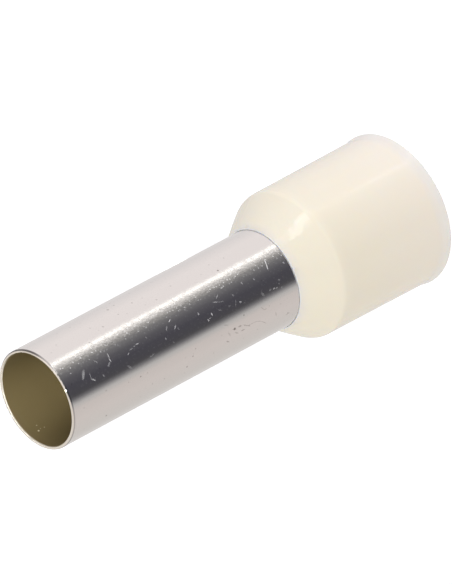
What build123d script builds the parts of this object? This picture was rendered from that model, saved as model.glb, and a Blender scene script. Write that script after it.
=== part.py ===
from build123d import *
import math
import os

# Insulated wire ferrule for a 16 mm2 stranded conductor.
# Lengths are in millimetres and angles in degrees.
# It stands on the collar's mouth. The origin is the centre of that mouth,
# and +Z runs along the axis to the tube's open end.

# Copper tube
tube_bore = 5.8
tube_wall = 0.2
# Bare tube that stands out of the collar
tube_bare_length = 18.0

# Moulded collar
collar_length = 10.8
collar_wall = 0.4
# Radial step from the collar's seat on the tube to its bore, where the wire's insulation goes
entry_step = 1.1
# Slope of the shoulder, measured from the axis
shoulder_angle = 33.5
# The shoulder's outside bulges by this much between its two ends
shoulder_crown = 0.03
# Inside radius where the shoulder turns into the body
shoulder_inner_round = 0.2
# The body's outside opens towards the mouth by the mould's draft
draft_angle = 0.5
# Wall left at the front edge, where the shoulder runs out on the tube
lip_wall = 0.05
# The mouth opens by this much in radius, over this height, with this blend to the body
mouth_opening = 0.12
mouth_height = 0.6
mouth_blend = 1.2

# Seat of the tube's flare on the inside of the shoulder
seat_clearance = 0.01
# Radius of the collar's inner edge, round which the flare bends
seat_round = 1.0
# Radial gap from the flare's rim to the collar's bore
flare_gap = 0.35

# Edges are rounded by this share of the wall that they end
edge_share = 0.3
# The nose's outer edge is rolled in by this share of the tube's wall
nose_share = 0.6

# The tube's outside and the seat that holds it
tube_radius = tube_bore / 2 + tube_wall
seat_radius = tube_radius + seat_clearance
overall_length = collar_length + tube_bare_length

# The collar's outside, from its front edge to its mouth
slope = math.tan(math.radians(shoulder_angle))
lip_radius = seat_radius + lip_wall
entry_radius = seat_radius + entry_step
shoulder_radius = entry_radius + collar_wall
shoulder_z = collar_length - (shoulder_radius - lip_radius) / slope
body_radius = shoulder_radius + (shoulder_z - mouth_height) * math.tan(math.radians(draft_angle))

# The collar's inside: its shoulder is parallel to the outer one, a wall away
shoulder_across = collar_wall / math.cos(math.radians(shoulder_angle))
entry_z = collar_length - (entry_radius + shoulder_across - lip_radius) / slope
seat_z = collar_length - (seat_radius + shoulder_across - lip_radius) / slope

# The flare lies along that shoulder, one clearance away from it
clearance_across = seat_clearance / math.cos(math.radians(shoulder_angle))
bend_z = seat_z - (clearance_across - seat_clearance) / slope
flare_reach = entry_step - flare_gap
flare_radius = tube_radius + flare_reach
flare_z = bend_z - flare_reach / slope


os.makedirs("parts", exist_ok=True)

# Tube: one drawn wall, straight from the nose and bent outwards into the flare
with BuildPart() as contact_sleeve:
    with BuildSketch(Plane.XZ):
        with BuildLine():
            FilletPolyline(
                (flare_radius, flare_z),
                (tube_radius, bend_z),
                (tube_radius, overall_length),
                radius=seat_round + seat_clearance,
            )
            offset(amount=tube_wall, side=Side.LEFT)
        make_face()
    revolve(axis=Axis.Z)
    nose_edges = contact_sleeve.edges().group_by(Axis.Z)[-1].sort_by(SortBy.RADIUS)
    fillet(nose_edges[-1], tube_wall * nose_share)
    nose_edges = contact_sleeve.edges().group_by(Axis.Z)[-1].sort_by(SortBy.RADIUS)
    fillet(nose_edges[0], tube_wall * edge_share)
contact_sleeve.part.label = "contact_sleeve"
export_step(contact_sleeve.part, "parts/contact_sleeve.step")

# Collar: the outer form, less the core that leaves its mouth, bore, shoulder and seat
with BuildPart() as insulating_collar:
    with BuildSketch(Plane.XZ) as outer_form:
        with BuildLine():
            FilletPolyline(
                (lip_radius, collar_length),
                (0, collar_length),
                (0, 0),
                (body_radius + mouth_opening, 0),
                (body_radius, mouth_height),
                (shoulder_radius, shoulder_z),
                radius=[0, 0, 0, mouth_blend],
            )
            SagittaArc((shoulder_radius, shoulder_z), (lip_radius, collar_length), -shoulder_crown)
        make_face()
        shoulder_corner = outer_form.vertices().sort_by_distance((shoulder_radius, shoulder_z))[0]
        fillet(shoulder_corner, shoulder_inner_round + collar_wall)
    revolve(axis=Axis.Z)
    with BuildSketch(Plane.XZ):
        with BuildLine():
            FilletPolyline(
                (0, 0),
                (entry_radius + mouth_opening, 0),
                (entry_radius, mouth_height),
                (entry_radius, entry_z),
                (seat_radius, seat_z),
                (seat_radius, collar_length),
                (0, collar_length),
                radius=[0, 0, mouth_blend, shoulder_inner_round, seat_round, 0, 0],
                close=True,
            )
        make_face()
    revolve(axis=Axis.Z, mode=Mode.SUBTRACT)
    lip_edges = insulating_collar.edges().group_by(Axis.Z)[-1].sort_by(SortBy.RADIUS)
    fillet(lip_edges[-1], lip_wall * edge_share)
    fillet(insulating_collar.edges().group_by(Axis.Z)[0], collar_wall * edge_share)
insulating_collar.part.label = "insulating_collar"
export_step(insulating_collar.part, "parts/insulating_collar.step")
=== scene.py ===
import math
import random

import bmesh
import bpy
from mathutils import Matrix, Vector

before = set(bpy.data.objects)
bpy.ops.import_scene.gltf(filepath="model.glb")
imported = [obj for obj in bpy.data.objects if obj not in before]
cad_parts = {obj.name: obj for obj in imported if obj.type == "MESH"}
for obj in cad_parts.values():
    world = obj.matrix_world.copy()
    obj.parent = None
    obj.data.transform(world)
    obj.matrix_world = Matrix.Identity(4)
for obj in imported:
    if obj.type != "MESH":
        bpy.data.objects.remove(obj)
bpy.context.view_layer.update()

# Places and sizes are in metres, as in the frame, and written as so many millimetres.
# Sizes and heights in the materials are in plain millimetres.
# Azimuths are 0 on the side of -Y, where the camera stands, and 90 degrees at +X.
MM = 0.001

# The tube's sizes in the frame, and the collar's radius to the nearest tenth
TUBE_RADIUS = 3.1
BORE_RADIUS = 2.9
TUBE_END = 28.8
COLLAR_RADIUS = 4.7

# The camera looks down along the standing ferrule through a long lens, and is turned about its own axis
IMAGE_WIDTH = 452
IMAGE_HEIGHT = 584
CAMERA_ELEVATION = math.radians(35.72)
CAMERA_ROLL = math.radians(-118.11)
CAMERA_DISTANCE = 599.3 * MM
CAMERA_AIM = Vector((0.338, -0.617, 13.94)) * MM
CAMERA_BACK = Vector((0, -math.cos(CAMERA_ELEVATION), math.sin(CAMERA_ELEVATION)))
CAMERA_PLACE = CAMERA_AIM + CAMERA_BACK * CAMERA_DISTANCE
CAMERA_TURN = (-CAMERA_BACK).to_track_quat("-Z", "Y").to_matrix() @ Matrix.Rotation(CAMERA_ROLL, 3, "Z")
# Blender takes the sensor's width in millimetres
SENSOR_WIDTH = 36.0
# The lens's length in pixels of the image
FOCAL_PIXELS = 10385.0
CLIP_START = 50 * MM
CLIP_END = 5000 * MM

WHITE = "#ffffff"

# A light tent stands round the ferrule, with an opening for the camera, and the tin mirrors its walls.
# Each stop is an azimuth in degrees and the tone that tin shows there.
TENT_STOPS = (
    (-180, "#c8c6c4"),
    (-128, "#c4c0bd"),
    (-85, "#c8c1be"),
    (-60, "#c3bcb9"),
    (-49, "#b2b0af"),
    (-38, "#6a696c"),
    (-32, "#4b4a4d"),
    (-26, "#46454a"),
    (-8, "#46454c"),
    (9, "#56555a"),
    (22, "#706f71"),
    (34, "#959391"),
    (42, "#c8c5c3"),
    (48, "#f0edea"),
    (55.5, "#f4f1ee"),
    (62, "#e2dcdb"),
    (100, "#e2dcdb"),
    (140, "#d1cdcd"),
    (180, "#c8c6c4"),
)
# The ramp that holds the stops goes once round the tent, with the camera's azimuth at this place on it
RAMP_FRONT = 0.5
# Tin gives back about three quarters of the light, so the tent is that much lighter than its tones
TENT_LEVEL = 1.33
# A tube lamp stands in the tent, as tall as the tent. It is full in its core and fades to its edge.
LAMP_AZIMUTH = math.radians(51.8)
LAMP_CORE = math.radians(0.6)
LAMP_EDGE = math.radians(2.5)
LAMP_LEVEL = 1.0
LAMP_TONE = "#fffdf8"
# On what scatters light, the tent's cloth is an even light and three wide soft lights behind it.
# Each soft light is an azimuth and an elevation in degrees, a level and a tone.
EVEN_LEVEL = 0.232
SOFT_LIGHTS = (
    (99, -32, 1.87, "#f2f3ff"),
    (6, 24, 1.59, "#fafaff"),
    (-132, -8, 1.91, WHITE),
)
# A strip lamp hangs beside the tube lamp and leans over, for the shoulder of the collar
KEY_AZIMUTH = math.radians(46.0)
KEY_ELEVATION = math.radians(24.4)
KEY_LEAN = math.radians(64.0)
KEY_DISTANCE = 500 * MM
KEY_WIDTH = 44 * MM
KEY_HEIGHT = 180 * MM
KEY_RADIANCE = 2.2
# A narrow spot shines into the open end from above the camera. Its power is in watts.
BORE_SPOT_AZIMUTH = math.radians(-8.0)
BORE_SPOT_ELEVATION = math.radians(58.0)
BORE_SPOT_DISTANCE = 120 * MM
BORE_SPOT_AIM = Vector((0.0, 0.8, TUBE_END)) * MM
BORE_SPOT_ANGLE = math.radians(2.2)
BORE_SPOT_BLEND = 0.8
BORE_SPOT_RADIUS = 3 * MM
BORE_SPOT_POWER = 2.9

# Floor of white paper. It scatters light, and glows to the camera alone so that it shows white.
FLOOR_RADIUS = 900 * MM
FLOOR_SEGMENTS = 64
FLOOR_TONE = "#f2f2f2"
FLOOR_ROUGHNESS = 0.9
FLOOR_GLOW = 0.35

# Bright tin plate
TIN = "#e2e0de"
# Where it is nicked, the plating is torn white
TIN_NICKED = "#fbfaf8"
TIN_PITTED = "#5c544e"
# The cut end, and its rounded outer edge, painted dark as painted shade where the round would mirror the dark
TIN_CUT = "#f3ede2"
TIN_EDGE_SHADE = "#5e5a58"
# The drawn bore, painted a dim olive brown as a painted reflection of the collar's ivory and painted shade of
# the tube's own depth, which it would mirror
BORE_PAINTED_REFLECTION = "#746643"
# A painted highlight on its upper edge, on the side away from the camera, and the flecks on its wall
BORE_EDGE_PAINTED_HIGHLIGHT = "#c8c1b2"
TIN_FLECK = "#e9deb8"
# Heights at which the edge's painted shade and the cut end begin and are full
EDGE_SHADE_FROM, EDGE_SHADE_TO = 28.66, 28.69
CUT_FROM, CUT_TO = 28.755, 28.775
# The side where the edge's painted shade is strongest: its middle, where it is full and where it ends, how
# strongly the painted shade shows there and elsewhere, and how much lower the cut end reaches elsewhere
EDGE_SHADE_AZIMUTH = math.radians(80.0)
EDGE_SHADE_FULL = math.radians(25.0)
EDGE_SHADE_END = math.radians(50.0)
EDGE_SHADE_SHOWS, EDGE_SHADE_ELSEWHERE = 0.95, 0.35
EDGE_SHADE_RAISES_CUT = 0.022
# Heights at which the painted highlight on the bore's edge begins and is full
BORE_HIGHLIGHT_FROM, BORE_HIGHLIGHT_TO = 28.69, 28.73
# How far round from the camera that painted highlight starts, and where it is full
BORE_HIGHLIGHT_STARTS = math.radians(95.0)
BORE_HIGHLIGHT_FULL = math.radians(125.0)
# Radii at which the wall stops being outside and is bore
OUTSIDE_FROM, BORE_TO = 2.935, 2.925
# Share of a nick, and of the bore, that scatters light and doesn't mirror it, and the roughness of the
# bore and of the bright outside
NICK_DULLS = 0.55
BORE_DULLS = 0.6
DULL_ROUGHNESS = 0.62
MIRROR_ROUGHNESS = 0.09
# Fine grain of the rubbed plating: its size, and from which value it starts to haze the mirror
GRAIN_SIZE = 0.2
GRAIN_DETAIL = 4.0
GRAIN_ROUGHNESS = 0.6
GRAIN_FROM, GRAIN_TO, GRAIN_HAZE = 0.5, 0.75, 0.28
GRAIN_DEPTH = 0.010
# The strip that rubs on what the ferrule lies on: its middle, where it is full and where it ends, and how
# much of the rubbing the rest of the tube has
RUBBED_AZIMUTH = math.radians(21.0)
RUBBED_FULL = math.radians(4.0)
RUBBED_END = math.radians(15.0)
RUBBED_ELSEWHERE = 0.10
# Bright scuffs in that strip, and faint ones elsewhere, one to a cell of this size
SCUFF_CELL = 0.24
SCUFF_RADIUS = 0.048
SCUFF_SHOWS = 0.85
# Faint pits all round, one to a cell of this size
PIT_CELL = 1.3
PIT_RADIUS = 0.05
PIT_SHOWS = 0.22
# Nicks on the sides away from the camera, and the ranges that each one's azimuth in degrees, height, length,
# half width and strength are drawn from
BACK_NICKS = 26
BACK_NICK_SEED = 16
BACK_NICK_AZIMUTHS = 80, 280
BACK_NICK_HEIGHTS = 11.5, 28.0
BACK_NICK_LENGTHS = 0.03, 0.4
BACK_NICK_HALF_WIDTHS = 0.025, 0.045
BACK_NICK_SHOWS = 0.3, 0.8

# Wear on the tube, each mark at its place in the image, in pixels.
# A nick is a short bright stroke: start, end, half its width in millimetres, and how strongly it shows.
NICKS = (
    ((70.3, 373.6), (71.3, 373.0), 0.030, 0.50),
    ((83.6, 371.0), (83.1, 378.5), 0.090, 0.40),
    ((89.5, 373.5), (91.4, 378.6), 0.025, 0.45),
    ((91.6, 379.0), (95.5, 380.3), 0.050, 0.50),
    ((103.0, 375.2), (104.6, 376.4), 0.040, 0.35),
    ((103.4, 374.4), (104.3, 375.0), 0.035, 0.25),
    ((89.0, 359.2), (89.6, 359.8), 0.030, 0.50),
    ((93.7, 360.6), (97.5, 362.4), 0.025, 0.50),
    ((107.3, 353.8), (109.2, 357.6), 0.030, 0.70),
    ((109.0, 358.6), (111.0, 361.4), 0.030, 0.75),
    ((109.8, 362.6), (108.4, 366.0), 0.055, 0.40),
    ((113.4, 341.7), (114.1, 342.4), 0.035, 0.40),
    ((117.6, 344.6), (118.3, 345.3), 0.035, 0.35),
    ((138.3, 343.3), (136.2, 344.5), 0.035, 0.60),
    ((135.2, 345.6), (133.6, 346.8), 0.025, 0.40),
    ((132.4, 348.2), (130.0, 350.0), 0.030, 0.40),
    ((129.0, 353.0), (127.8, 354.8), 0.030, 0.50),
    ((146.0, 337.2), (146.6, 338.0), 0.045, 0.30),
    ((153.6, 317.1), (154.3, 317.8), 0.035, 0.40),
    ((153.3, 322.2), (154.0, 322.9), 0.035, 0.35),
    ((162.7, 310.7), (163.4, 311.4), 0.035, 0.35),
    ((184.5, 309.5), (185.2, 310.2), 0.035, 0.40),
    ((170.3, 319.3), (168.8, 322.0), 0.030, 0.70),
    ((166.9, 326.6), (166.4, 330.0), 0.035, 0.50),
    ((175.6, 325.2), (174.8, 329.2), 0.035, 0.60),
    ((178.0, 328.2), (179.0, 329.0), 0.045, 0.25),
    ((165.6, 338.2), (166.3, 339.4), 0.045, 0.40),
    ((173.6, 342.0), (174.4, 342.7), 0.040, 0.20),
    ((154.2, 353.8), (150.4, 357.0), 0.035, 0.30),
    ((128.0, 366.0), (131.5, 368.0), 0.060, 0.25),
    ((198.1, 313.2), (198.8, 314.5), 0.040, 0.65),
    ((211.4, 313.4), (212.4, 315.0), 0.045, 0.75),
    ((209.6, 318.8), (210.8, 317.6), 0.030, 0.50),
    ((208.1, 319.8), (208.8, 320.8), 0.040, 0.70),
    ((217.7, 294.6), (216.4, 298.6), 0.030, 0.45),
    ((213.0, 302.2), (217.6, 302.0), 0.030, 0.50),
    ((217.6, 302.0), (223.6, 301.4), 0.018, 0.40),
    ((221.0, 288.2), (222.4, 287.2), 0.045, 0.50),
    ((241.4, 282.6), (242.2, 283.6), 0.040, 0.55),
    ((232.5, 294.6), (233.3, 295.6), 0.040, 0.40),
    ((235.6, 300.0), (235.9, 306.8), 0.022, 0.30),
    ((240.0, 302.0), (241.2, 302.0), 0.050, 0.55),
    ((228.8, 305.9), (230.2, 305.9), 0.040, 0.25),
    ((218.4, 310.1), (221.4, 310.1), 0.035, 0.25),
    ((264.6, 260.4), (266.4, 264.2), 0.030, 1.00),
    ((266.4, 264.2), (267.8, 269.2), 0.030, 1.00),
    ((283.3, 262.4), (283.9, 263.0), 0.045, 0.55),
    ((257.6, 267.0), (258.2, 267.6), 0.040, 0.35),
    ((253.6, 278.8), (254.4, 279.6), 0.045, 0.40),
    ((278.8, 279.4), (279.3, 280.4), 0.045, 0.35),
    ((278.9, 283.4), (279.2, 284.0), 0.030, 0.40),
    ((273.6, 289.0), (274.6, 288.2), 0.045, 0.50),
    ((276.4, 288.2), (277.4, 287.4), 0.045, 0.35),
    ((269.6, 290.4), (270.8, 289.6), 0.060, 0.25),
    ((281.4, 287.6), (282.2, 286.8), 0.040, 0.25),
    ((262.0, 293.4), (263.6, 295.0), 0.080, 0.25),
)
# A speck is a dark pit or a fleck of dirt: its place, its radius in millimetres, and how strongly it shows
SPECKS = (
    ((113.7, 305.3), 0.055, 0.35),
    ((131.9, 302.8), 0.050, 0.35),
    ((107.7, 309.8), 0.075, 0.35),
    ((118.2, 314.2), 0.050, 0.25),
    ((102.9, 326.7), 0.055, 0.30),
    ((156.4, 299.6), 0.050, 0.25),
    ((142.1, 298.0), 0.040, 0.20),
    ((217.9, 270.5), 0.060, 0.60),
    ((170.5, 286.0), 0.060, 0.15),
    ((193.1, 356.3), 0.055, 0.35),
    ((195.7, 348.7), 0.050, 0.25),
    ((187.0, 366.8), 0.060, 0.40),
    ((140.8, 376.6), 0.055, 0.40),
    ((106.3, 415.7), 0.055, 0.55),
    ((89.5, 342.5), 0.050, 0.35),
    ((234.8, 328.9), 0.080, 0.75),
    ((240.2, 326.2), 0.065, 0.40),
    ((242.8, 330.2), 0.055, 0.30),
    ((249.4, 325.4), 0.055, 0.35),
    ((244.6, 325.4), 0.045, 0.30),
    ((227.5, 341.6), 0.055, 0.35),
    ((236.6, 333.0), 0.050, 0.25),
    ((244.0, 315.2), 0.060, 0.30),
    ((287.8, 313.0), 0.060, 0.30),
    ((276.2, 314.4), 0.055, 0.20),
)
# A smear of dirt is a dark stroke, written as a nick is
SMEARS = (
    ((224.2, 325.2), (228.2, 325.1), 0.035, 0.20),
    ((228.8, 333.0), (230.4, 335.6), 0.050, 0.18),
    ((226.8, 341.2), (229.2, 342.0), 0.040, 0.30),
    ((232.9, 329.5), (236.2, 329.2), 0.035, 0.35),
    ((235.4, 332.4), (238.0, 333.2), 0.045, 0.25),
    ((238.6, 326.8), (241.4, 325.8), 0.045, 0.30),
    ((241.6, 330.8), (244.6, 329.4), 0.035, 0.40),
    ((243.8, 324.8), (250.2, 326.2), 0.030, 0.30),
    ((261.6, 307.6), (264.3, 309.8), 0.035, 0.22),
    ((264.3, 309.8), (266.6, 308.6), 0.035, 0.22),
    ((275.8, 312.4), (276.2, 315.4), 0.045, 0.18),
    ((286.2, 314.8), (289.6, 312.6), 0.045, 0.22),
)
# A hair of dirt in the lower light band, as a row of points
HAIR = ((246.0, 326.2), (250.4, 324.6), (254.0, 322.4), (257.4, 321.4), (261.4, 321.2), (266.3, 323.3))
HAIR_HALF_WIDTH = 0.020
HAIR_SHOWS = 0.30
# Bright flecks on the far wall of the bore
FLECKS = (
    ((36.6, 425.4), 0.035, 0.6),
    ((38.6, 430.8), 0.055, 0.9),
    ((44.4, 427.2), 0.035, 0.5),
    ((40.4, 428.6), 0.025, 0.5),
)
# A mark fades between these shares of its half width
MARK_OUTSIDE, MARK_INSIDE = 1.25, 0.55

# Ivory polypropylene, and the second tone that the pigment clouds to, seven clouds to 20 mm
IVORY = "#efe6d0"
IVORY_CLOUD = "#f0e8d5"
CLOUD_SIZE = 20 / 7
# Painted light where bright metal would show through the thin shoulder and where light would come through the
# thin mouth, painted shade greyer towards the mouth's edge, and painted light on the thinnest front edge,
# lightest on its top.
# Each is a tone, the heights where it begins and is full, and how strongly it shows.
IVORY_FLARE_PAINTED_LIGHT = "#f5edd8", 7.9, 9.0, 0.75
IVORY_MOUTH_PAINTED_LIGHT = "#f2e9d9", 7.0, 0.0, 1.0
IVORY_EDGE_PAINTED_SHADE = "#ebe7df", 1.0, 0.2, 1.0
IVORY_LIP_PAINTED_LIGHT = "#f1e9da", 10.3, 10.7, 1.0
IVORY_LIP_TOP_PAINTED_LIGHT = "#fffdf8", 10.77, 10.79, 1.0
IVORY_SPECK = "#a39c8c"
COLLAR_SPECKS = (((403.0, 293.0), 0.05, 0.5),)
GLOSS_ROUGHNESS = 0.04
# The gloss is softer in a band under the shoulder: where the band starts, is softest and ends
SOFTER_FROM, SOFTER_MIDDLE, SOFTER_TO = 7.9, 7.1, 4.4
SOFTER_ROUGHNESS = 0.20
POLYPROPYLENE_IOR = 1.49
# How much of the light goes through the wall's surface, and how far its red, green and blue go
SUBSURFACE_WEIGHT = 0.4
SUBSURFACE_RADIUS = (1.0, 0.8, 0.5)
SUBSURFACE_SCALE = 0.25 * MM
# Waves that the melt left on the wall as it flowed and shrank, nine to 5 mm
WAVE_SIZE = 5 / 9
WAVE_DEPTH = 0.008


def linear(code):
    """Turns an sRGB hex colour to linear light, with alpha 1, by the curve of the sRGB standard."""
    channels = []
    for place in (1, 3, 5):
        value = int(code[place:place + 2], 16) / 255
        channels.append(value / 12.92 if value <= 0.04045 else ((value + 0.055) / 1.055) ** 2.4)
    return (*channels, 1.0)


def add_node(tree, kind, inputs=None, **settings):
    """Adds a node, sets its settings, and fills or links its inputs, by name or by number.

    The colours of a Mix node are its inputs 6 and 7 and its output 2.
    """
    node = tree.nodes.new(kind)
    for name, value in settings.items():
        setattr(node, name, value)
    for socket, value in (inputs or {}).items():
        if isinstance(value, bpy.types.NodeSocket):
            tree.links.new(value, node.inputs[socket])
        else:
            node.inputs[socket].default_value = value
    return node


def direction_to(azimuth, elevation):
    """A unit vector towards an azimuth, 0 at the camera and 90 degrees at +X, and an elevation."""
    level = math.cos(elevation)
    return Vector((level * math.sin(azimuth), -level * math.cos(azimuth), math.sin(elevation)))


def azimuth_from(tree, split):
    """The azimuth of a place or a direction, from its separate X and Y."""
    frontward = add_node(tree, "ShaderNodeMath", {0: split["Y"], 1: -1.0}, operation="MULTIPLY").outputs[0]
    return add_node(tree, "ShaderNodeMath", {0: split["X"], 1: frontward}, operation="ARCTAN2").outputs[0]


def upright_band(tree, azimuth, middle, end, full, least=0.0, most=1.0):
    """An upright band: most within the angle full of its middle, fading to least at the angle end."""
    off = add_node(tree, "ShaderNodeMath", {0: azimuth, 1: middle}, operation="SUBTRACT").outputs[0]
    aside = add_node(tree, "ShaderNodeMath", {0: off}, operation="ABSOLUTE").outputs[0]
    return add_node(
        tree,
        "ShaderNodeMapRange",
        {"Value": aside, "From Min": end, "From Max": full, "To Min": least, "To Max": most},
        interpolation_type="SMOOTHSTEP",
    ).outputs[0]


def place_camera():
    """The camera, at the photograph's angle and with its framing."""
    data = bpy.data.cameras.new("camera")
    data.sensor_width = SENSOR_WIDTH
    data.lens = FOCAL_PIXELS * SENSOR_WIDTH / max(IMAGE_WIDTH, IMAGE_HEIGHT)
    data.clip_start = CLIP_START
    data.clip_end = CLIP_END
    camera = bpy.data.objects.new("camera", data)
    bpy.context.scene.collection.objects.link(camera)
    camera.matrix_world = Matrix.Translation(CAMERA_PLACE) @ CAMERA_TURN.to_4x4()
    bpy.context.scene.camera = camera


def light_tent():
    """The world: white to the camera, the tent's walls to gloss, and soft lights to what scatters."""
    world = bpy.data.worlds.new("light_tent")
    bpy.context.scene.world = world
    world.use_nodes = True
    tree = world.node_tree
    tree.nodes.clear()
    direction = add_node(tree, "ShaderNodeTexCoord").outputs["Generated"]
    azimuth = azimuth_from(tree, add_node(tree, "ShaderNodeSeparateXYZ", {0: direction}).outputs)

    round_tent = add_node(
        tree, "ShaderNodeMapRange", {"Value": azimuth, "From Min": -math.pi, "From Max": math.pi}
    ).outputs[0]
    walls = add_node(tree, "ShaderNodeValToRGB", {"Fac": round_tent})
    stops = walls.color_ramp.elements
    while len(stops) < len(TENT_STOPS):
        stops.new(RAMP_FRONT)
    for stop, (degrees, tone) in zip(stops, TENT_STOPS):
        stop.position = degrees / 360 + RAMP_FRONT
        stop.color = linear(tone)
    tent = add_node(tree, "ShaderNodeBackground", {"Color": walls.outputs["Color"], "Strength": TENT_LEVEL})
    lamp_light = upright_band(tree, azimuth, LAMP_AZIMUTH, LAMP_EDGE, LAMP_CORE, most=LAMP_LEVEL)
    lamp = add_node(tree, "ShaderNodeBackground", {"Color": linear(LAMP_TONE), "Strength": lamp_light})
    mirrored = add_node(tree, "ShaderNodeAddShader", {0: tent.outputs[0], 1: lamp.outputs[0]}).outputs[0]

    scattered = add_node(
        tree, "ShaderNodeBackground", {"Color": linear(WHITE), "Strength": EVEN_LEVEL}
    ).outputs[0]
    for degrees_round, degrees_up, level, tone in SOFT_LIGHTS:
        towards = direction_to(math.radians(degrees_round), math.radians(degrees_up))
        facing = add_node(
            tree, "ShaderNodeVectorMath", {0: direction, 1: towards}, operation="DOT_PRODUCT"
        ).outputs["Value"]
        near = add_node(tree, "ShaderNodeMath", {0: facing, 1: 0.0}, operation="MAXIMUM").outputs[0]
        # The light falls off from its middle as the square of the cosine
        spread = add_node(tree, "ShaderNodeMath", {0: near, 1: near}, operation="MULTIPLY").outputs[0]
        strength = add_node(tree, "ShaderNodeMath", {0: spread, 1: level}, operation="MULTIPLY").outputs[0]
        soft = add_node(tree, "ShaderNodeBackground", {"Color": linear(tone), "Strength": strength})
        scattered = add_node(tree, "ShaderNodeAddShader", {0: scattered, 1: soft.outputs[0]}).outputs[0]

    white = add_node(tree, "ShaderNodeBackground", {"Color": linear(WHITE), "Strength": 1.0}).outputs[0]
    path = add_node(tree, "ShaderNodeLightPath").outputs
    lighting = add_node(
        tree, "ShaderNodeMixShader", {0: path["Is Glossy Ray"], 1: scattered, 2: mirrored}
    ).outputs[0]
    seen = add_node(tree, "ShaderNodeMixShader", {0: path["Is Camera Ray"], 1: lighting, 2: white}).outputs[0]
    add_node(tree, "ShaderNodeOutputWorld", {"Surface": seen})


def aim_lamp(data, target, towards, distance, lean=0.0):
    """Hangs a lamp at a distance from its target, turns it to face the target, and leans it over."""
    lamp = bpy.data.objects.new(data.name, data)
    bpy.context.scene.collection.objects.link(lamp)
    turn = towards.to_track_quat("Z", "Y").to_matrix().to_4x4() @ Matrix.Rotation(lean, 4, "Z")
    lamp.matrix_world = Matrix.Translation(target + towards * distance) @ turn


def hang_lamps():
    """The strip lamp for the collar's shoulder and the spot for the bore."""
    strip = bpy.data.lights.new("strip_lamp", "AREA")
    strip.shape = "RECTANGLE"
    strip.size = KEY_WIDTH
    strip.size_y = KEY_HEIGHT
    # An area lamp's power is its radiance times pi times its area
    strip.energy = KEY_RADIANCE * math.pi * KEY_WIDTH * KEY_HEIGHT
    aim_lamp(strip, CAMERA_AIM, direction_to(KEY_AZIMUTH, KEY_ELEVATION), KEY_DISTANCE, KEY_LEAN)
    spot = bpy.data.lights.new("bore_spot", "SPOT")
    spot.spot_size = BORE_SPOT_ANGLE
    spot.spot_blend = BORE_SPOT_BLEND
    spot.shadow_soft_size = BORE_SPOT_RADIUS
    spot.energy = BORE_SPOT_POWER
    aim_lamp(spot, BORE_SPOT_AIM, direction_to(BORE_SPOT_AZIMUTH, BORE_SPOT_ELEVATION), BORE_SPOT_DISTANCE)


def white_floor():
    """The floor of white paper that the ferrule stands on."""
    form = bmesh.new()
    bmesh.ops.create_circle(form, cap_ends=True, segments=FLOOR_SEGMENTS, radius=FLOOR_RADIUS)
    mesh = bpy.data.meshes.new("white_floor")
    form.to_mesh(mesh)
    form.free()
    paper = bpy.data.objects.new("white_floor", mesh)
    bpy.context.scene.collection.objects.link(paper)
    # The ferrule is lit all round, as it is in a light tent
    paper.visible_glossy = False
    paper.visible_diffuse = False
    material = bpy.data.materials.new("white_paper")
    material.use_nodes = True
    tree = material.node_tree
    shader = tree.nodes["Principled BSDF"]
    shader.inputs["Base Color"].default_value = linear(FLOOR_TONE)
    shader.inputs["Roughness"].default_value = FLOOR_ROUGHNESS
    shader.inputs["Emission Color"].default_value = linear(WHITE)
    path = add_node(tree, "ShaderNodeLightPath").outputs
    glow = add_node(tree, "ShaderNodeMath", {0: path["Is Camera Ray"], 1: FLOOR_GLOW}, operation="MULTIPLY")
    tree.links.new(glow.outputs[0], shader.inputs["Emission Strength"])
    mesh.materials.append(material)


def on_wall(pixel, wall_radius, unrolled_radius, far=False):
    """Where the camera sees a pixel on an upright wall, as millimetres round the unrolled wall and up it."""
    across = (pixel[0] - IMAGE_WIDTH / 2) / FOCAL_PIXELS
    down = (pixel[1] - IMAGE_HEIGHT / 2) / FOCAL_PIXELS
    ray = CAMERA_TURN @ Vector((across, -down, -1))
    start = CAMERA_PLACE.xy
    # The ray meets the wall where its distance from the axis is the wall's radius, which is a quadratic
    a = ray.xy.dot(ray.xy)
    b = ray.xy.dot(start)
    c = start.dot(start) - (wall_radius * MM) ** 2
    root = math.sqrt(b * b - a * c)
    point = CAMERA_PLACE + ray * ((-b + root) / a if far else (-b - root) / a)
    return Vector((math.atan2(point.x, -point.y) * unrolled_radius, point.z / MM, 0))


def strokes_on_wall(strokes, radius):
    """Marks from strokes whose two ends are given in pixels, on a wall of this radius."""
    return [
        (on_wall(start, radius, radius), on_wall(end, radius, radius), half_width, shows)
        for start, end, half_width, shows in strokes
    ]


def spots_on_wall(spots, wall_radius, unrolled_radius, far=False):
    """Marks from round spots given in pixels. A spot is a stroke of no length."""
    marks = []
    for pixel, spot_radius, shows in spots:
        middle = on_wall(pixel, wall_radius, unrolled_radius, far)
        marks.append((middle, middle, spot_radius, shows))
    return marks


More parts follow.
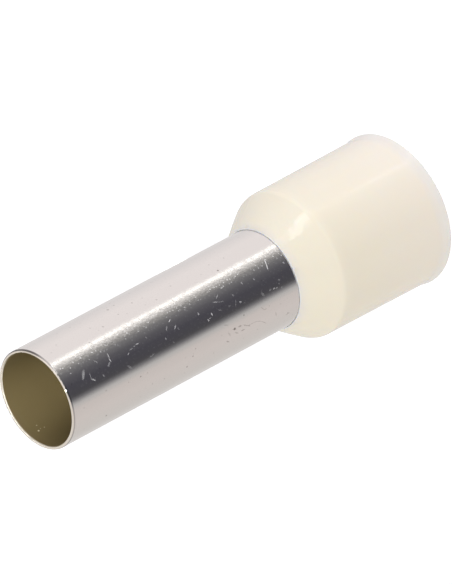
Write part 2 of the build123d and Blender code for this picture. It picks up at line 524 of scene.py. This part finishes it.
def strongest_mark(tree, unrolled, marks):
    """How strongly any mark shows. A mark is a stroke's two ends, half its width, and how strongly it shows.

    Each is an ellipse round its stroke. Mapping nodes would turn them more simply, but Cycles keeps the
    results of them all at once, and has no room for over eighty.
    """
    shown = 0.0
    for start, end, half_width, shows in marks:
        stroke = end - start
        along = stroke.normalized() if stroke.length else Vector((1, 0, 0))
        across = Vector((-along.y, along.x, 0))
        half_length = stroke.length / 2 + half_width
        own = add_node(
            tree, "ShaderNodeVectorMath", {0: unrolled, 1: (start + end) / 2}, operation="SUBTRACT"
        ).outputs[0]
        ahead = add_node(
            tree, "ShaderNodeVectorMath", {0: own, 1: along / half_length}, operation="DOT_PRODUCT"
        ).outputs["Value"]
        aside = add_node(
            tree, "ShaderNodeVectorMath", {0: own, 1: across / half_width}, operation="DOT_PRODUCT"
        ).outputs["Value"]
        squared = add_node(tree, "ShaderNodeMath", {0: ahead, 1: ahead}, operation="MULTIPLY").outputs[0]
        away = add_node(
            tree, "ShaderNodeMath", {0: aside, 1: aside, 2: squared}, operation="MULTIPLY_ADD"
        ).outputs[0]
        mark = add_node(
            tree,
            "ShaderNodeMapRange",
            {"Value": away, "From Min": MARK_OUTSIDE ** 2, "From Max": MARK_INSIDE ** 2, "To Max": shows},
            interpolation_type="SMOOTHSTEP",
        ).outputs[0]
        shown = add_node(tree, "ShaderNodeMath", {0: shown, 1: mark}, operation="MAXIMUM").outputs[0]
    return shown


def cell_marks(tree, unrolled, cell, mark_radius, shows):
    """How strongly a round mark shows, one to a cell, each at random up to the most that they show."""
    cells = add_node(
        tree, "ShaderNodeTexVoronoi", {"Vector": unrolled, "Scale": 1 / cell}, voronoi_dimensions="2D"
    ).outputs
    near = add_node(
        tree,
        "ShaderNodeMapRange",
        {
            "Value": cells["Distance"],
            "From Min": MARK_OUTSIDE * mark_radius / cell,
            "From Max": MARK_INSIDE * mark_radius / cell,
            "To Max": shows,
        },
    ).outputs[0]
    # Each cell's own random colour says how strongly its mark shows
    own = add_node(tree, "ShaderNodeSeparateColor", {0: cells["Color"]}).outputs["Red"]
    return add_node(tree, "ShaderNodeMath", {0: near, 1: own}, operation="MULTIPLY").outputs[0]


def wall_coordinates(tree, unrolled_radius):
    """A point's place in millimetres, its height, radius and azimuth, and its place on the unrolled wall."""
    coords = add_node(tree, "ShaderNodeTexCoord").outputs
    place = add_node(
        tree, "ShaderNodeVectorMath", {0: coords["Object"], "Scale": 1 / MM}, operation="SCALE"
    ).outputs[0]
    split = add_node(tree, "ShaderNodeSeparateXYZ", {0: place}).outputs
    azimuth = azimuth_from(tree, split)
    level = add_node(tree, "ShaderNodeVectorMath", {0: place, 1: (1, 1, 0)}, operation="MULTIPLY").outputs[0]
    radius = add_node(tree, "ShaderNodeVectorMath", {0: level}, operation="LENGTH").outputs["Value"]
    arc = add_node(tree, "ShaderNodeMath", {0: azimuth, 1: unrolled_radius}, operation="MULTIPLY").outputs[0]
    unrolled = add_node(tree, "ShaderNodeCombineXYZ", {"X": arc, "Y": split["Z"]}).outputs[0]
    return place, split["Z"], radius, azimuth, unrolled


def back_nicks():
    """Short strokes at random on the sides of the tube away from the camera, the same ones each run."""
    dice = random.Random(BACK_NICK_SEED)
    marks = []
    for _ in range(BACK_NICKS):
        azimuth = math.radians(dice.uniform(*BACK_NICK_AZIMUTHS))
        azimuth -= math.tau if azimuth > math.pi else 0
        start = Vector((azimuth * TUBE_RADIUS, dice.uniform(*BACK_NICK_HEIGHTS), 0))
        slant = dice.uniform(0, math.pi)
        end = start + Vector((math.cos(slant), math.sin(slant), 0)) * dice.uniform(*BACK_NICK_LENGTHS)
        half_width = dice.uniform(*BACK_NICK_HALF_WIDTHS)
        marks.append((start, end, half_width, dice.uniform(*BACK_NICK_SHOWS)))
    return marks


def bright_tin_plate():
    """Copper tube, plated with bright tin.

    It was drawn thin, cut off and plated in a bath with brightener, so it mirrors the tent with hardly a
    haze. Tin is soft: ferrules that lie loose in a bag nick and pit each other, and rub a fine grain into
    the side they lie on. The cut end is a cream line, and its rounded outer edge is painted dark as painted
    shade. The bore is painted a dim olive brown as a painted reflection of its depth, with a painted
    highlight on its upper edge, on the side away from the camera.
    """
    material = bpy.data.materials.new("bright_tin_plate")
    material.use_nodes = True
    tree = material.node_tree
    shader = tree.nodes["Principled BSDF"]
    place, height, radius, azimuth, unrolled = wall_coordinates(tree, TUBE_RADIUS)

    rubbed = upright_band(tree, azimuth, RUBBED_AZIMUTH, RUBBED_END, RUBBED_FULL, least=RUBBED_ELSEWHERE)
    scuffs = cell_marks(tree, unrolled, SCUFF_CELL, SCUFF_RADIUS, SCUFF_SHOWS)
    scuffed = add_node(tree, "ShaderNodeMath", {0: scuffs, 1: rubbed}, operation="MULTIPLY").outputs[0]
    struck = strongest_mark(tree, unrolled, strokes_on_wall(NICKS, TUBE_RADIUS) + back_nicks())
    nicked = add_node(tree, "ShaderNodeMath", {0: struck, 1: scuffed}, operation="MAXIMUM").outputs[0]

    dirt = strokes_on_wall(SMEARS, TUBE_RADIUS) + spots_on_wall(SPECKS, TUBE_RADIUS, TUBE_RADIUS)
    hair = [(start, end, HAIR_HALF_WIDTH, HAIR_SHOWS) for start, end in zip(HAIR, HAIR[1:])]
    specked = strongest_mark(tree, unrolled, dirt + strokes_on_wall(hair, TUBE_RADIUS))
    pitted = cell_marks(tree, unrolled, PIT_CELL, PIT_RADIUS, PIT_SHOWS)
    darkened = add_node(tree, "ShaderNodeMath", {0: specked, 1: pitted}, operation="MAXIMUM").outputs[0]
    flecks = spots_on_wall(FLECKS, BORE_RADIUS, TUBE_RADIUS, far=True)
    flecked = strongest_mark(tree, unrolled, flecks)

    in_bore = add_node(
        tree, "ShaderNodeMapRange", {"Value": radius, "From Min": OUTSIDE_FROM, "From Max": BORE_TO}
    ).outputs[0]
    # Painted shade: the rounded outer edge of the cut end is painted dark where its round would mirror the
    # dark, most on one side
    edge_shade_band = upright_band(tree, azimuth, EDGE_SHADE_AZIMUTH, EDGE_SHADE_END, EDGE_SHADE_FULL)
    edge_shade_strength = add_node(
        tree, "ShaderNodeMapRange", {"Value": edge_shade_band, "To Min": EDGE_SHADE_ELSEWHERE, "To Max": EDGE_SHADE_SHOWS}
    ).outputs[0]
    painted_edge_shade = add_node(
        tree,
        "ShaderNodeMapRange",
        {"Value": height, "From Min": EDGE_SHADE_FROM, "From Max": EDGE_SHADE_TO, "To Max": edge_shade_strength},
    ).outputs[0]
    cut_height = add_node(
        tree, "ShaderNodeMath", {0: edge_shade_band, 1: -EDGE_SHADE_RAISES_CUT, 2: height}, operation="MULTIPLY_ADD"
    ).outputs[0]
    cut = add_node(
        tree, "ShaderNodeMapRange", {"Value": cut_height, "From Min": CUT_FROM, "From Max": CUT_TO}
    ).outputs[0]

    torn = add_node(
        tree, "ShaderNodeMix", {0: nicked, 6: linear(TIN), 7: linear(TIN_NICKED)}, data_type="RGBA"
    ).outputs[2]
    marked = add_node(
        tree, "ShaderNodeMix", {0: darkened, 6: torn, 7: linear(TIN_PITTED)}, data_type="RGBA"
    ).outputs[2]
    edge = add_node(
        tree, "ShaderNodeMix", {0: painted_edge_shade, 6: marked, 7: linear(TIN_EDGE_SHADE)}, data_type="RGBA"
    ).outputs[2]
    end = add_node(tree, "ShaderNodeMix", {0: cut, 6: edge, 7: linear(TIN_CUT)}, data_type="RGBA").outputs[2]
    # Painted reflection and shade: the bore's dim olive brown stands in for what its mirror would show of the
    # collar's ivory and the tube's depth
    bore = add_node(
        tree, "ShaderNodeMix", {0: flecked, 6: linear(BORE_PAINTED_REFLECTION), 7: linear(TIN_FLECK)}, data_type="RGBA"
    ).outputs[2]
    # Painted highlight: the bore's upper edge is painted light on the side away from the camera
    either_way = add_node(tree, "ShaderNodeMath", {0: azimuth}, operation="ABSOLUTE").outputs[0]
    far_side = add_node(
        tree,
        "ShaderNodeMapRange",
        {"Value": either_way, "From Min": BORE_HIGHLIGHT_STARTS, "From Max": BORE_HIGHLIGHT_FULL},
    ).outputs[0]
    bore_highlight = add_node(
        tree,
        "ShaderNodeMapRange",
        {"Value": height, "From Min": BORE_HIGHLIGHT_FROM, "From Max": BORE_HIGHLIGHT_TO, "To Max": far_side},
    ).outputs[0]
    bore = add_node(
        tree, "ShaderNodeMix", {0: bore_highlight, 6: bore, 7: linear(BORE_EDGE_PAINTED_HIGHLIGHT)}, data_type="RGBA"
    ).outputs[2]
    colour = add_node(tree, "ShaderNodeMix", {0: in_bore, 6: end, 7: bore}, data_type="RGBA").outputs[2]
    tree.links.new(colour, shader.inputs["Base Color"])

    by_nicks = add_node(tree, "ShaderNodeMath", {0: nicked, 1: NICK_DULLS}, operation="MULTIPLY").outputs[0]
    by_bore = add_node(tree, "ShaderNodeMath", {0: in_bore, 1: BORE_DULLS}, operation="MULTIPLY").outputs[0]
    dull = add_node(tree, "ShaderNodeMath", {0: by_nicks, 1: by_bore}, operation="MAXIMUM").outputs[0]
    metal = add_node(tree, "ShaderNodeMath", {0: 1.0, 1: dull}, operation="SUBTRACT").outputs[0]
    tree.links.new(metal, shader.inputs["Metallic"])

    # The real grain is a few hundredths of a millimetre, under a pixel, so it is drawn at a fifth
    grain = add_node(
        tree,
        "ShaderNodeTexNoise",
        {"Vector": place, "Scale": 1 / GRAIN_SIZE, "Detail": GRAIN_DETAIL, "Roughness": GRAIN_ROUGHNESS},
    ).outputs["Fac"]
    grainy = add_node(
        tree,
        "ShaderNodeMapRange",
        {"Value": grain, "From Min": GRAIN_FROM, "From Max": GRAIN_TO, "To Max": GRAIN_HAZE},
    ).outputs[0]
    haze = add_node(
        tree, "ShaderNodeMath", {0: grainy, 1: rubbed, 2: MIRROR_ROUGHNESS}, operation="MULTIPLY_ADD"
    ).outputs[0]
    matt = add_node(
        tree, "ShaderNodeMapRange", {"Value": dull, "From Max": BORE_DULLS, "To Max": DULL_ROUGHNESS}
    ).outputs[0]
    roughness = add_node(tree, "ShaderNodeMath", {0: haze, 1: matt}, operation="MAXIMUM").outputs[0]
    tree.links.new(roughness, shader.inputs["Roughness"])

    rise = add_node(tree, "ShaderNodeMath", {0: grain, 1: rubbed}, operation="MULTIPLY").outputs[0]
    bump = add_node(tree, "ShaderNodeBump", {"Height": rise, "Distance": GRAIN_DEPTH * MM})
    tree.links.new(bump.outputs[0], shader.inputs["Normal"])
    return material


def ivory_polypropylene():
    """Ivory polypropylene, moulded in a polished mould.

    The wall is thin and lets some light through, so the colour is soft and milky and shades gently, and
    its colour is painted lighter where the tube's flare lies behind it, towards the mouth and on the front
    edge, as painted light through the wall, and painted greyer at the mouth's edge as painted shade. The
    mould's polish gives a clear gloss, and the waves that the melt left make its highlights waver.
    """
    material = bpy.data.materials.new("ivory_polypropylene")
    material.use_nodes = True
    tree = material.node_tree
    shader = tree.nodes["Principled BSDF"]
    place, height, _, _, unrolled = wall_coordinates(tree, COLLAR_RADIUS)

    cloud = add_node(tree, "ShaderNodeTexNoise", {"Vector": place, "Scale": 1 / CLOUD_SIZE}).outputs["Fac"]
    tint = add_node(
        tree, "ShaderNodeMix", {0: cloud, 6: linear(IVORY), 7: linear(IVORY_CLOUD)}, data_type="RGBA"
    ).outputs[2]
    # These zones paint light and shade into the tint: lighter over the flare, towards the mouth and at the
    # front edge, greyer at the mouth's edge
    painted_zones = IVORY_FLARE_PAINTED_LIGHT, IVORY_MOUTH_PAINTED_LIGHT, IVORY_EDGE_PAINTED_SHADE, IVORY_LIP_PAINTED_LIGHT, IVORY_LIP_TOP_PAINTED_LIGHT
    for tone, begins, full, shows in painted_zones:
        painted_zone = add_node(
            tree,
            "ShaderNodeMapRange",
            {"Value": height, "From Min": begins, "From Max": full, "To Max": shows},
        ).outputs[0]
        tint = add_node(
            tree, "ShaderNodeMix", {0: painted_zone, 6: tint, 7: linear(tone)}, data_type="RGBA"
        ).outputs[2]
    specks = spots_on_wall(COLLAR_SPECKS, COLLAR_RADIUS, COLLAR_RADIUS)
    specked = strongest_mark(tree, unrolled, specks)
    tint = add_node(
        tree, "ShaderNodeMix", {0: specked, 6: tint, 7: linear(IVORY_SPECK)}, data_type="RGBA"
    ).outputs[2]
    tree.links.new(tint, shader.inputs["Base Color"])

    below, above = (
        add_node(
            tree,
            "ShaderNodeMapRange",
            {
                "Value": height,
                "From Min": band_end,
                "From Max": SOFTER_MIDDLE,
                "To Min": GLOSS_ROUGHNESS,
                "To Max": SOFTER_ROUGHNESS,
            },
            interpolation_type="SMOOTHSTEP",
        ).outputs[0]
        for band_end in (SOFTER_TO, SOFTER_FROM)
    )
    gloss = add_node(tree, "ShaderNodeMath", {0: below, 1: above}, operation="MINIMUM").outputs[0]
    tree.links.new(gloss, shader.inputs["Roughness"])
    shader.inputs["IOR"].default_value = POLYPROPYLENE_IOR
    shader.inputs["Subsurface Weight"].default_value = SUBSURFACE_WEIGHT
    shader.inputs["Subsurface Radius"].default_value = SUBSURFACE_RADIUS
    shader.inputs["Subsurface Scale"].default_value = SUBSURFACE_SCALE

    waves = add_node(tree, "ShaderNodeTexNoise", {"Vector": place, "Scale": 1 / WAVE_SIZE}).outputs["Fac"]
    bump = add_node(tree, "ShaderNodeBump", {"Height": waves, "Distance": WAVE_DEPTH * MM})
    tree.links.new(bump.outputs[0], shader.inputs["Normal"])
    return material


place_camera()
light_tent()
hang_lamps()
white_floor()
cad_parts["contact_sleeve"].data.materials[0] = bright_tin_plate()
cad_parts["insulating_collar"].data.materials[0] = ivory_polypropylene()

bpy.context.scene.view_settings.view_transform = "Standard"
